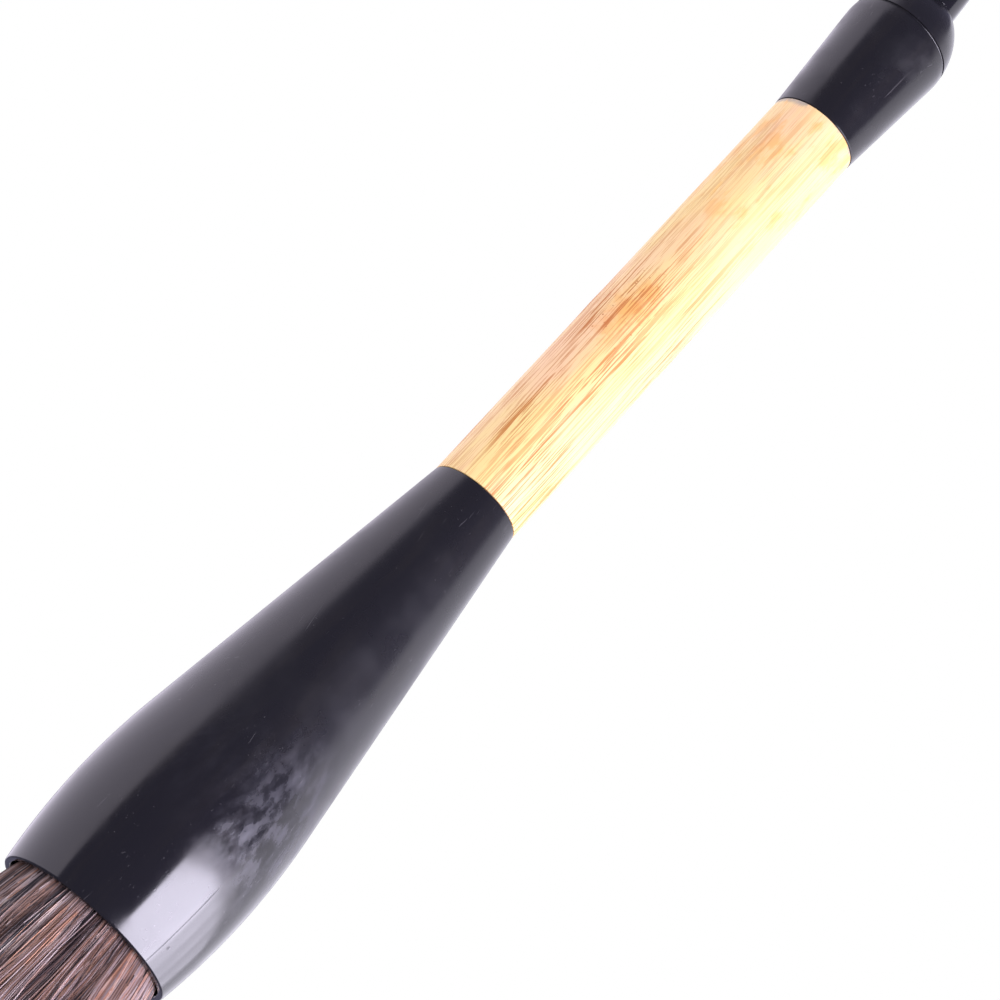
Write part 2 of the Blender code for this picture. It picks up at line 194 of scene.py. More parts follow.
class Wiring:
    """Adds and joins shader nodes in one tree."""

    def __init__(self, tree):
        self.tree = tree

    def add(self, kind, settings=None, **inputs):
        node = self.tree.nodes.new(kind)
        for key, value in (settings or {}).items():
            setattr(node, key, value)
        for key, value in inputs.items():
            self.feed(node, key.replace("_", " "), value)
        return node

    def feed(self, node, socket, value):
        target = node.inputs[int(socket)] if socket.isdigit() else node.inputs[socket]
        if isinstance(value, bpy.types.NodeSocket):
            self.tree.links.new(value, target)
        else:
            target.default_value = value

    def math(self, operation, a, b=0.0, clamp=False):
        node = self.add("ShaderNodeMath", {"operation": operation, "use_clamp": clamp})
        self.feed(node, "0", a)
        self.feed(node, "1", b)
        return node.outputs[0]

    def times(self, *parts):
        product = parts[0]
        for part in parts[1:]:
            product = self.math("MULTIPLY", product, part)
        return product

    def plus(self, *parts):
        total = parts[0]
        for part in parts[1:]:
            total = self.math("ADD", total, part)
        return total

    def span(self, value, low, high, to_low=0.0, to_high=1.0):
        """Ease a value that runs from low to high into one that runs from to_low to to_high."""
        node = self.add("ShaderNodeMapRange", {"interpolation_type": "SMOOTHSTEP"}, Value=value,
                        From_Min=low, From_Max=high, To_Min=to_low, To_Max=to_high)
        return node.outputs["Result"]

    def blend(self, factor, a, b, kind="MIX"):
        """Mix two colours, or multiply the first by the second."""
        node = self.add("ShaderNodeMix", {"data_type": "RGBA", "blend_type": kind})
        for index, value in ((0, factor), (6, a), (7, b)):
            if isinstance(value, tuple) and len(value) == 3:
                value = (*value, 1.0)
            self.feed(node, str(index), value)
        return node.outputs[2]

    def place(self, where, scale, turn=None, shift=(0, 0, 0)):
        """Scale a pattern. A turned one is turned first and scaled after, so that its streaks lean."""
        if turn is None:
            node = self.add("ShaderNodeMapping", None, Vector=where, Location=shift, Scale=scale)
            return node.outputs[0]
        node = self.add("ShaderNodeMapping", {"vector_type": "TEXTURE"}, Vector=where, Rotation=turn,
                        Scale=tuple(1.0 / part for part in scale))
        return node.outputs[0]

    def bump(self, strength, distance, height):
        """A normal that is dented by a height."""
        node = self.add("ShaderNodeBump", None, Strength=strength, Distance=distance, Height=height)
        return node.outputs[0]

    def cells(self, where, scale):
        """The distance to the nearest of many scattered points."""
        node = self.add("ShaderNodeTexVoronoi", {"feature": "F1"}, Vector=where, Scale=scale)
        return node.outputs["Distance"]

    def noise(self, where, scale, detail=3.0, roughness=0.5, distortion=0.0, turn=None):
        """Soft noise. A scale of three parts stretches it, and a turn makes its streaks lean."""
        if isinstance(scale, tuple):
            where, scale = self.place(where, scale, turn), 1.0
        node = self.add("ShaderNodeTexNoise", None, Vector=where, Scale=scale, Detail=detail,
                        Roughness=roughness, Distortion=distortion)
        return node.outputs["Fac"]


def effect(name, inputs, outputs):
    """An empty shader group with float inputs and named outputs, and the wiring inside it."""
    group = bpy.data.node_groups.new(name, "ShaderNodeTree")
    for label, value in inputs:
        socket = group.interface.new_socket(name=label, in_out="INPUT", socket_type="NodeSocketFloat")
        socket.default_value = value
    for label, kind in outputs:
        group.interface.new_socket(name=label, in_out="OUTPUT", socket_type="NodeSocket" + kind)
    wires = Wiring(group)
    return group, wires, wires.add("NodeGroupInput").outputs, wires.add("NodeGroupOutput")


def new_finish(name, **constants):
    """A new material: its wiring, its shader and the object's own coordinates."""
    material = bpy.data.materials.new(name)
    material.use_nodes = True
    wires = Wiring(material.node_tree)
    shader = material.node_tree.nodes["Principled BSDF"]
    for key, value in constants.items():
        shader.inputs[key.replace("_", " ")].default_value = value
    where = wires.add("ShaderNodeTexCoord").outputs["Object"]
    return material, wires, shader, where


def lay_on(wires, shader, colour, roughness, normal=None):
    """Join a finish's colour, roughness and normal to its shader."""
    wires.feed(shader, "Base Color", colour)
    wires.feed(shader, "Roughness", roughness)
    if normal:
        wires.feed(shader, "Normal", normal)


# Handling marks that every polished piece shares: hairline scratches that run mostly
# along the brush, specks of dust, and cloudy patches where fingers have dulled the polish.
# Each set of scratches has a lean, and its lines per metre across and along the brush.
SCRATCH_SETS = ((0.10, 2300.0, 70.0), (-0.22, 2900.0, 110.0), (0.75, 2600.0, 160.0))
SCRATCHED_ZONES = 150.0
SPECKS_PER_METRE = 1300.0
DUSTY_ZONES = 480.0

marks, mw, mark_in, mark_out = effect(
    "handling_marks",
    [("Scratch Amount", 0.5), ("Dust Amount", 0.5), ("Cloud Scale", 90.0)],
    [("Scratches", "Float"), ("Dust", "Float"), ("Clouds", "Float")])
mark_where = mw.add("ShaderNodeTexCoord").outputs["Object"]
scratches = 0.0
for lean, across, along in SCRATCH_SETS:
    lines = mw.noise(mark_where, (across, across, along), 1.5, turn=(lean, lean * 0.6, 0))
    scratches = mw.math("MAXIMUM", mw.span(lines, 0.70, 0.76), scratches)
scratches = mw.times(scratches, mw.span(mw.noise(mark_where, SCRATCHED_ZONES, 2.0), 0.46, 0.66))
specks = mw.times(mw.span(mw.cells(mark_where, SPECKS_PER_METRE), 0.13, 0.05),
                 mw.span(mw.noise(mark_where, DUSTY_ZONES, 1.0), 0.62, 0.72))
mw.feed(mark_out, "Scratches", mw.times(scratches, mark_in["Scratch Amount"]))
mw.feed(mark_out, "Dust", mw.times(specks, mark_in["Dust Amount"]))
mw.feed(mark_out, "Clouds", mw.noise(mark_where, mark_in["Cloud Scale"], 4.0, 0.6))


def horn_finish(name, polish, dust, scratches, extra=None):
    """Polished black horn. `polish` is its roughness; `extra` may add a piece's own marks."""
    material, wires, shader, where = new_finish(name, IOR=HORN_IOR)
    worn = wires.add("ShaderNodeGroup", {"node_tree": marks})
    worn.inputs["Scratch Amount"].default_value = scratches
    worn.inputs["Dust Amount"].default_value = dust
    grain = wires.noise(where, HORN_GRAIN, 4.0, 0.6)
    base = wires.blend(wires.span(grain, 0.42, 0.78), HORN_BLACK, HORN_BROWN)
    base = wires.blend(worn.outputs["Scratches"], base, DUST_GREY)
    base = wires.blend(worn.outputs["Dust"], base, DUST_GREY)
    dull = wires.span(worn.outputs["Clouds"], 0.40, 0.72, polish, polish * 2.1)
    dull = wires.plus(dull, wires.times(worn.outputs["Scratches"], 0.25))
    height = wires.plus(wires.times(grain, 0.35), wires.times(worn.outputs["Scratches"], -0.5))
    if extra:
        base, dull, height = extra(wires, where, base, dull, height)
    lay_on(wires, shader, base, dull, wires.bump(0.12, 0.00006, height))
    return material


def waisted_drill():
    """A round along Y that widens at both ends, so that the eye's rims come out eased."""
    mesh = bmesh.new()
    rings = []
    for y in np.linspace(-DRILL_HALF_LENGTH, DRILL_HALF_LENGTH, DRILL_RINGS):
        radius = EYE_RADIUS + max(0.0, abs(y) - DRILL_STRAIGHT_HALF) ** 2 * DRILL_FLARE
        rings.append([mesh.verts.new((radius * math.cos(a), y, radius * math.sin(a)))
                      for a in np.linspace(0, math.tau, DRILL_SIDES, endpoint=False)])
    for a, b in zip(rings, rings[1:]):
        for k in range(DRILL_SIDES):
            n = (k + 1) % DRILL_SIDES
            mesh.faces.new((a[k], a[n], b[n], b[k]))
    mesh.faces.new(rings[0])
    mesh.faces.new(rings[-1])
    return faced_out(mesh, bpy.data.meshes.new("eye_drill"))


def made_plain(piece):
    """Apply a piece's modifiers, so that its mesh is final."""
    depsgraph = bpy.context.evaluated_depsgraph_get()
    data = bpy.data.meshes.new_from_object(piece.evaluated_get(depsgraph), preserve_all_data_layers=True,
                                           depsgraph=depsgraph)
    piece.modifiers.clear()
    piece.data = data
    return piece


def on_ball(turn):
    """A point of the ball's outline, at a turn up from its lowest point."""
    return BALL_RADIUS * math.sin(turn), -BALL_RADIUS * math.cos(turn)


cap_low, cap_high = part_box("end_cap")
cap_top_z = cap_high.z
neck_foot_z = cap_top_z + SEAM_GAP
waist_turn = math.asin(NECK_WAIST_RADIUS / BALL_RADIUS)
finial_outline = eased([
    (0, cap_top_z - SPIGOT_LENGTH, 0), (SPIGOT_RADIUS, cap_top_z - SPIGOT_LENGTH, SPIGOT_EASE),
    (SPIGOT_RADIUS, neck_foot_z, 0), (NECK_FOOT_RADIUS, neck_foot_z, NECK_FOOT_EASE),
    (NECK_WAIST_RADIUS + 0.00006, on_ball(waist_turn)[1] - 0.0005, NECK_EASE),
    (*on_ball(waist_turn + BALL_SEAM), 0)], step=OUTLINE_STEP / 2)
finial_outline += [np.array(on_ball(turn))
                   for turn in np.linspace(waist_turn + BALL_SEAM + 0.06, math.pi, BALL_STEPS)]
finial_horn = horn_finish("finial_horn", 0.12, 0.3, 0.2)
finial = turned("turned_finial", finial_outline, finial_horn)
drill = placed("eye_drill", waisted_drill(), finial_horn)
eye = finial.modifiers.new("eye", "BOOLEAN")
eye.operation = "DIFFERENCE"
eye.solver = "EXACT"
eye.object = drill
made_plain(finial)
bpy.data.objects.remove(drill)
finial.data.shade_smooth()
finial.data.set_sharp_from_angle(angle=SHARP_EDGE)
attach(finial, "brush_handle")
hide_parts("finial")


# --- End cap ------------------------------------------------------------------
# A turned cap of the same black horn. It flares from the bamboo to a shoulder and closes
# in a dome with a cut groove, with a seat for the finial and a bore for its dowel.

CAP_SHOULDER_RADIUS = 0.0074
CAP_SHOULDER_BELOW_TOP = 0.0080
CAP_TOP_RIM = 0.00035
GROOVE_BELOW_TOP = 0.0066
GROOVE_HALF_WIDTH = 0.00022
GROOVE_DEPTH = 0.00025
DOWEL_BORE_RADIUS = 0.0035
CAP_BORE_DEPTH = 0.0123
CAP_SEAT_DEPTH = 0.0068
CAP_SEAT_CLEARANCE = 0.0003
RIM_EASE = 0.00012
BORE_EASE = 0.0002
DOME_LEVELS = 60
GROOVE_LEVELS = 41
GROOVE_MARGIN = 0.0005

bamboo_low, bamboo_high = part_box("bamboo_handle")
cap_foot_z = cap_low.z
cap_rim_radius = bamboo_high.x - 0.00005
cap_dome_top = NECK_FOOT_RADIUS + CAP_TOP_RIM
dome_end = math.acos(cap_dome_top / CAP_SHOULDER_RADIUS)
dome_height = CAP_SHOULDER_BELOW_TOP / math.sin(dome_end)


def cap_radius(below):
    """Radius of the dome at a distance below the cap's top, with the groove cut in it."""
    lift = (CAP_SHOULDER_BELOW_TOP - below) / dome_height
    cut = max(0.0, 1 - (abs(below - GROOVE_BELOW_TOP) / GROOVE_HALF_WIDTH) ** 2)
    return CAP_SHOULDER_RADIUS * math.sqrt(1 - lift ** 2) - GROOVE_DEPTH * math.sqrt(cut)


# Levels down the dome, and close ones through the groove.
groove_start, groove_end = GROOVE_BELOW_TOP + GROOVE_MARGIN, GROOVE_BELOW_TOP - GROOVE_MARGIN
dome_levels = [*np.linspace(CAP_SHOULDER_BELOW_TOP, 0.0002, DOME_LEVELS),
               *np.linspace(groove_start, groove_end, GROOVE_LEVELS)]
cap_bore_z = cap_foot_z + CAP_BORE_DEPTH
cap_outline = eased([
    (0, cap_bore_z, 0), (DOWEL_BORE_RADIUS, cap_bore_z, BORE_EASE),
    (DOWEL_BORE_RADIUS, cap_foot_z, BORE_EASE), (cap_rim_radius, cap_foot_z, RIM_EASE),
    (CAP_SHOULDER_RADIUS - 0.00005, cap_top_z - CAP_SHOULDER_BELOW_TOP - 0.0009, 0)])
cap_outline += [np.array((cap_radius(below), cap_top_z - below))
                for below in sorted(dome_levels, reverse=True)]
cap_seat = SPIGOT_RADIUS + CAP_SEAT_CLEARANCE
cap_outline += eased([
    (cap_dome_top - RIM_EASE, cap_top_z, 0), (cap_seat, cap_top_z, BORE_EASE / 2),
    (cap_seat, cap_top_z - CAP_SEAT_DEPTH, BORE_EASE / 2), (0, cap_top_z - CAP_SEAT_DEPTH, 0)])
cap_horn = horn_finish("cap_horn", 0.22, 0.35, 0.2)
cap = turned("turned_end_cap", cap_outline, cap_horn)
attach(cap, "brush_handle")
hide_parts("end_cap")


# --- Dowels -------------------------------------------------------------------
# Two plain rods of pale close-grained wood, chamfered at both ends. One is glued across
# the seam of the cap and the bamboo, the other across the seam of the bamboo and ferrule.

DOWEL_PALE = (0.62, 0.42, 0.22)
DOWEL_DARK = (0.38, 0.22, 0.10)
GLUE_STAIN = (0.30, 0.20, 0.11)
ROD_GRAIN = (900.0, 900.0, 40.0)
ROD_PORES = (3000.0, 3000.0, 160.0)


def give_finish(node, material):
    """Put a material on a CAD node that is shown as it is."""
    slots = frame["nodes"][node].data.materials
    if not slots:
        slots.append(material)
    for i in range(len(slots)):
        slots[i] = material


dowel_wood, wires, shader, where = new_finish("dowel_wood", Roughness=0.7)
rod_grain = wires.noise(where, ROD_GRAIN, 5.0, 0.65)
rod_pores = wires.noise(where, ROD_PORES, 2.0)
rod_colour = wires.blend(wires.span(rod_grain, 0.35, 0.70), DOWEL_PALE, DOWEL_DARK)
rod_colour = wires.blend(wires.span(rod_pores, 0.60, 0.68, 0.0, 0.6), rod_colour, DOWEL_DARK)
stained = wires.span(wires.noise(where, 260.0, 3.0), 0.52, 0.62, 0.0, 0.5)
rod_colour = wires.blend(stained, rod_colour, GLUE_STAIN)
lay_on(wires, shader, rod_colour,
       wires.span(rod_grain, 0.3, 0.7, 0.60, 0.82), wires.bump(0.4, 0.0001, rod_pores))
give_finish("cap_dowel", dowel_wood)
give_finish("ferrule_dowel", dowel_wood)


# --- Bamboo handle ------------------------------------------------------------
# A length of peeled bamboo, scraped smooth across one node and thinly oiled. Its fibre
# bundles show as brown lines, and the node is left as a brown scar with root dots.

HANDLE_TOP_RADIUS = 0.00615
HANDLE_FOOT_RADIUS = 0.00625
HANDLE_BORE_RADIUS = 0.0035
NODE_ABOVE_FERRULE = 0.0302
NODE_WALL_HALF = 0.0011
WALL_EASE = 0.0006
TUBE_EASE = 0.0001
NODE_SWELL = 0.00004
NODE_SWELL_REACH = 0.0022
HANDLE_LEVELS = 90
HANDLE_END = 0.0006
BAMBOO_CREAM = (0.93, 0.68, 0.30)
BAMBOO_PEACH = (0.92, 0.59, 0.36)
MOTTLE_ORANGE = (0.98, 0.74, 0.42)
FIBRE_BROWN = (0.60, 0.27, 0.085)
SCAR_ORANGE = (0.95, 0.66, 0.36)
GLUE_GREY = (0.34, 0.31, 0.30)
SCAR_TURN = math.radians(-112)
SCAR_ACROSS = 330.0
SCAR_ALONG = 165.0
ROOT_DOTS_PER_METRE = 1500.0
BAMBOO_TONES = (170.0, 170.0, 38.0)
BAMBOO_MOTTLE = (420.0, 420.0, 150.0)
FIBRE_PATCHES = (300.0, 300.0, 70.0)
# Each set of fibres: a lean, lines per metre across and along, two thresholds and a depth.
FIBRE_SETS = ((0.000, 3900.0, 58.0, 0.560, 0.600, 0.95), (0.012, 7200.0, 105.0, 0.535, 0.595, 0.85),
              (-0.010, 2100.0, 34.0, 0.620, 0.655, 0.90))

ferrule_low, ferrule_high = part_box("ferrule")
ferrule_top_z = ferrule_high.z
node_z = ferrule_top_z + NODE_ABOVE_FERRULE
wall_low_z, wall_high_z = node_z - NODE_WALL_HALF, node_z + NODE_WALL_HALF
handle_foot_z = ferrule_top_z + SEAM_GAP
handle_top_z = cap_foot_z - SEAM_GAP
handle_run = []
for z in np.linspace(handle_foot_z + HANDLE_END, handle_top_z - HANDLE_END, HANDLE_LEVELS):
    share = (z - handle_foot_z) / (handle_top_z - handle_foot_z)
    swell = NODE_SWELL * math.exp(-((z - node_z) / NODE_SWELL_REACH) ** 2)
    handle_run.append((HANDLE_FOOT_RADIUS + (HANDLE_TOP_RADIUS - HANDLE_FOOT_RADIUS) * share + swell, z, 0))
handle_outline = eased([
    (0, wall_low_z, 0), (HANDLE_BORE_RADIUS, wall_low_z, WALL_EASE),
    (HANDLE_BORE_RADIUS, handle_foot_z, TUBE_EASE), (HANDLE_FOOT_RADIUS, handle_foot_z, TUBE_EASE),
    *handle_run,
    (HANDLE_TOP_RADIUS, handle_top_z, TUBE_EASE), (HANDLE_BORE_RADIUS, handle_top_z, TUBE_EASE),
    (HANDLE_BORE_RADIUS, wall_high_z, WALL_EASE), (0, wall_high_z, 0)])

bamboo_finish, wires, shader, where = new_finish("oiled_bamboo", IOR=1.46)
height_share = wires.add("ShaderNodeSeparateXYZ", None, Vector=where).outputs["Z"]
tone = wires.noise(where, BAMBOO_TONES, 3.0, 0.55)
bamboo_colour = wires.blend(wires.span(tone, 0.38, 0.66), BAMBOO_CREAM, BAMBOO_PEACH)
mottle = wires.noise(where, BAMBOO_MOTTLE, 4.0, 0.6)
upper_end = wires.span(height_share, node_z + 0.008, node_z + 0.024)
mottle = wires.times(wires.span(mottle, 0.50, 0.66, 0.0, 0.75), upper_end)
bamboo_colour = wires.blend(mottle, bamboo_colour, MOTTLE_ORANGE, "MULTIPLY")
fibre_mask = 0.0
for lean, across, along, low, high, depth in FIBRE_SETS:
    lines = wires.noise(where, (across, across, along), 2.5, 0.55, turn=(lean, -lean, 0))
    fibre_mask = wires.math("MAXIMUM", wires.span(lines, low, high, 0.0, depth), fibre_mask)
patchy = wires.span(wires.noise(where, FIBRE_PATCHES, 2.0), 0.36, 0.56, 0.50, 1.0)
lower_end = wires.span(height_share, node_z + 0.022, node_z - 0.002, 0.40, 1.0)
fibre_mask = wires.times(wires.times(fibre_mask, patchy), lower_end)
bamboo_colour = wires.blend(fibre_mask, bamboo_colour, FIBRE_BROWN, "MULTIPLY")
scar_where = wires.place(where, (SCAR_ACROSS, SCAR_ACROSS, SCAR_ALONG),
                         shift=(-SCAR_ACROSS * HANDLE_FOOT_RADIUS * math.cos(SCAR_TURN),
                                -SCAR_ACROSS * HANDLE_FOOT_RADIUS * math.sin(SCAR_TURN),
                                -SCAR_ALONG * node_z))
scar_near = wires.add("ShaderNodeVectorMath", {"operation": "LENGTH"}, **{"0": scar_where}).outputs["Value"]
scar_edge = wires.plus(scar_near, wires.times(wires.noise(where, 420.0, 5.0, 0.7), 2.2))
scar_mask = wires.span(scar_edge, 2.30, 1.20, 0.0, 0.85)
bamboo_colour = wires.blend(scar_mask, bamboo_colour, SCAR_ORANGE, "MULTIPLY")
dot_zone = wires.times(wires.span(scar_near, 1.5, 0.7),
                      wires.span(wires.noise(where, 700.0, 1.0), 0.5, 0.6))
dot_mask = wires.times(wires.span(wires.cells(where, ROOT_DOTS_PER_METRE), 0.24, 0.12), dot_zone)
bamboo_colour = wires.blend(wires.times(dot_mask, 0.9), bamboo_colour, FIBRE_BROWN, "MULTIPLY")
glue_top = wires.span(height_share, cap_foot_z - 0.0012, cap_foot_z - 0.0003, 0.0, 0.8)
glue_top = wires.times(glue_top, wires.span(wires.noise(where, 330.0, 3.0), 0.46, 0.58))
bamboo_colour = wires.blend(glue_top, bamboo_colour, GLUE_GREY)
lay_on(wires, shader, bamboo_colour, wires.span(fibre_mask, 0.0, 1.0, 0.40, 0.62))
bamboo_height = wires.plus(wires.times(fibre_mask, -1.0), wires.times(dot_mask, -1.2))
wires.feed(shader, "Normal", wires.bump(0.30, 0.00006, bamboo_height))
handle = turned("bamboo_tube", handle_outline, bamboo_finish)
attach(handle, "brush_handle")
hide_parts("bamboo_handle")


# --- Ferrule ------------------------------------------------------------------
# The large black horn ferrule: a straight cone that runs into a long arc. It is turned
# with a tapered socket for the tuft, and its mouth is left as a thin rounded lip.

FERRULE_TOP_RADIUS = 0.00625
FERRULE_BELLY_RADIUS = 0.01305
BELLY_ABOVE_MOUTH = 0.0135
FERRULE_ARC_RADIUS = 0.0890
LIP_THICKNESS = 0.0008
LIP_ROUND = 0.00030
SOCKET_EASE = 0.0004
SOCKET_FLOOR_RADIUS = 0.0089
SOCKET_DEPTH = 0.0279
FERRULE_BORE_DEPTH = 0.0183
FERRULE_SIDES = 224
FERRULE_LEVELS = 110
PIT_TURN = math.radians(-47)
PIT_ABOVE_MOUTH = 0.0031
PIT_RADIUS = 0.00030
NICK_TURN = PIT_TURN - 0.07
NICK_HALF_WIDTH = 0.00015
NICK_LENGTH = 0.014
WORN_SHEEN_FROM, WORN_SHEEN_FULL, WORN_SHEEN_FADES, WORN_SHEEN_TO = 0.010, 0.019, 0.022, 0.036
WORN_SHEEN_STREAKS = (620.0, 620.0, 130.0)
WORN_AND_SHEEN_TINT = (0.42, 0.40, 0.56)

mouth_z = ferrule_low.z
ferrule_length = ferrule_top_z - mouth_z
cone_along = ferrule_length - BELLY_ABOVE_MOUTH
cone_rise = FERRULE_BELLY_RADIUS - FERRULE_ARC_RADIUS - FERRULE_TOP_RADIUS
cone_reach = math.hypot(cone_along, cone_rise)
cone_turn = math.atan2(cone_rise, cone_along) + math.asin(FERRULE_ARC_RADIUS / cone_reach)
cone_length = math.sqrt(cone_reach ** 2 - FERRULE_ARC_RADIUS ** 2) * math.cos(cone_turn)


def ferrule_radius(below_top):
    """Outer radius of the ferrule at a distance below its top rim."""
    if below_top < cone_length:
        return FERRULE_TOP_RADIUS + below_top * math.tan(cone_turn)
    along = below_top - cone_along
    return FERRULE_BELLY_RADIUS - FERRULE_ARC_RADIUS + math.sqrt(FERRULE_ARC_RADIUS ** 2 - along ** 2)


mouth_radius = ferrule_radius(ferrule_length)
socket_mouth_radius = mouth_radius - LIP_THICKNESS
ferrule_run = [(ferrule_radius(below), ferrule_top_z - below, 0)
               for below in np.linspace(0.0008, ferrule_length - 0.0009, FERRULE_LEVELS)]
bore_floor_z = ferrule_top_z - FERRULE_BORE_DEPTH
socket_floor_z = mouth_z + SOCKET_DEPTH
ferrule_outline = eased([
    (0, bore_floor_z, 0), (DOWEL_BORE_RADIUS, bore_floor_z, BORE_EASE),
    (DOWEL_BORE_RADIUS, ferrule_top_z, BORE_EASE), (FERRULE_TOP_RADIUS, ferrule_top_z, RIM_EASE),
    *ferrule_run,
    (mouth_radius, mouth_z, LIP_ROUND), (socket_mouth_radius, mouth_z, LIP_ROUND),
    (SOCKET_FLOOR_RADIUS, socket_floor_z, SOCKET_EASE), (0, socket_floor_z, 0)], step=0.002)


def ferrule_marks(wires, where, base, dull, height):
    """The ferrule's own marks: a pit and a nick near the mouth, and a worn band above the belly that is also
    a painted sheen, tinted lavender on the side facing the key panel.
    """
    split = wires.add("ShaderNodeSeparateXYZ", None, Vector=where).outputs
    across, level = split["X"], split["Z"]

    pit_reach = mouth_radius + 0.0005
    pit_centre = (pit_reach * math.cos(PIT_TURN), pit_reach * math.sin(PIT_TURN), mouth_z + PIT_ABOVE_MOUTH)
    from_pit = wires.add("ShaderNodeVectorMath", {"operation": "DISTANCE"}, **{"0": where, "1": pit_centre})
    pit = wires.span(from_pit.outputs["Value"], PIT_RADIUS, PIT_RADIUS * 0.3)

    nick_side = (-math.sin(NICK_TURN), math.cos(NICK_TURN), 0.0)
    from_nick = wires.add("ShaderNodeVectorMath", {"operation": "DOT_PRODUCT"},
                          **{"0": where, "1": nick_side})
    from_nick = wires.math("ABSOLUTE", from_nick.outputs["Value"])
    nick = wires.span(from_nick, NICK_HALF_WIDTH, NICK_HALF_WIDTH * 0.3)
    nick_end = wires.span(level, mouth_z + NICK_LENGTH, mouth_z + NICK_LENGTH * 0.7)
    nick = wires.times(nick, nick_end, wires.span(across, 0.0, 0.001))

    # The rubbed band's added roughness is real wear. Its lavender tint, kept to the side that faces the key
    # panel, is a painted sheen.
    rubbed_and_sheen = wires.times(wires.span(level, mouth_z + WORN_SHEEN_FROM, mouth_z + WORN_SHEEN_FULL),
                        wires.span(level, mouth_z + WORN_SHEEN_TO, mouth_z + WORN_SHEEN_FADES))
    streaks = wires.noise(where, WORN_SHEEN_STREAKS, 4.0, 0.62, turn=(0.35, 0.2, 0.0))
    rubbed_and_sheen = wires.times(rubbed_and_sheen, wires.span(streaks, 0.36, 0.76), wires.span(across, 0.0, 0.006, 0.15, 1.0))

    # Painted sheen: a faint lavender tint over the rubbed band.
    base = wires.blend(wires.times(rubbed_and_sheen, 0.07), base, WORN_AND_SHEEN_TINT)
    dull = wires.plus(dull, wires.times(rubbed_and_sheen, 0.26), wires.times(wires.math("MAXIMUM", nick, pit), 0.26),
                      wires.span(level, mouth_z + 0.008, mouth_z + 0.040, 0.0, 0.15))
    height = wires.plus(height, wires.times(pit, -9.0), wires.times(nick, -0.9))
    return base, dull, height


ferrule_horn = horn_finish("ferrule_horn", 0.12, 0.35, 0.22, ferrule_marks)
ferrule = turned("turned_ferrule", ferrule_outline, ferrule_horn, sides=FERRULE_SIDES)
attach(ferrule, "brush_handle")
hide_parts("ferrule")


# --- Seating resin ------------------------------------------------------------
# Amber resin poured into the bottom of the socket. It beds the bound root of the tuft and
# comes a little way down around it, with small bubbles and clouds in it.

RESIN_AMBER = (0.32, 0.13, 0.028)
RESIN_DARK = (0.13, 0.045, 0.012)
BUBBLE_PALE = (0.60, 0.36, 0.15)
BUBBLES_PER_METRE = 1400.0

resin_finish, wires, shader, where = new_finish("amber_resin", IOR=1.55)
clouds = wires.noise(where, 320.0, 4.0, 0.6, 0.4)
bubbles = wires.span(wires.cells(where, BUBBLES_PER_METRE), 0.24, 0.14)
resin_colour = wires.blend(wires.span(clouds, 0.35, 0.70), RESIN_AMBER, RESIN_DARK)
resin_colour = wires.blend(wires.times(bubbles, 0.4), resin_colour, BUBBLE_PALE)
lay_on(wires, shader, resin_colour,
       wires.span(clouds, 0.3, 0.7, 0.12, 0.34), wires.bump(0.5, 0.0001, bubbles))
give_finish("seat_resin", resin_finish)


# --- Bound root of the tuft ---------------------------------------------------
# The roots of all the hair, trimmed flat and fused with resin into a short plug. Fine
# hair lines run up it, darkened where the resin has soaked in.

KNOT_BROWN = (0.13, 0.085, 0.060)
KNOT_DARK = (0.035, 0.022, 0.016)
KNOT_LINES = (2600.0, 2600.0, 60.0)

knot_finish, wires, shader, where = new_finish("fused_hair", IOR=1.5)
knot_lines = wires.noise(where, KNOT_LINES, 4.0, 0.7)
soaked = wires.noise(where, 240.0, 3.0)
knot_colour = wires.blend(wires.span(knot_lines, 0.36, 0.62), KNOT_DARK, KNOT_BROWN)
knot_colour = wires.blend(wires.span(soaked, 0.45, 0.62, 0.0, 0.55), knot_colour, RESIN_DARK)
lay_on(wires, shader, knot_colour,
       wires.span(soaked, 0.4, 0.65, 0.68, 0.34), wires.bump(0.8, 0.0001, knot_lines))
give_finish("root_knot", knot_finish)


# --- Binding thread -----------------------------------------------------------
# Two-ply waxed linen thread, wound five times around the bound root and pulled tight.
# The winding and the twist of its plies are grown along one spiral.

THREAD_RADIUS = 0.00040
THREAD_TURNS = 5.0
THREAD_STEPS = 280
PLY_SIDES = 14
PLY_WAIST = 0.62
PLY_TWIST = 0.0014
LINT_PER_METRE = (2200.0, 2200.0, 2200.0)
LINEN_PALE = (0.56, 0.50, 0.41)
LINEN_DARK = (0.30, 0.25, 0.18)


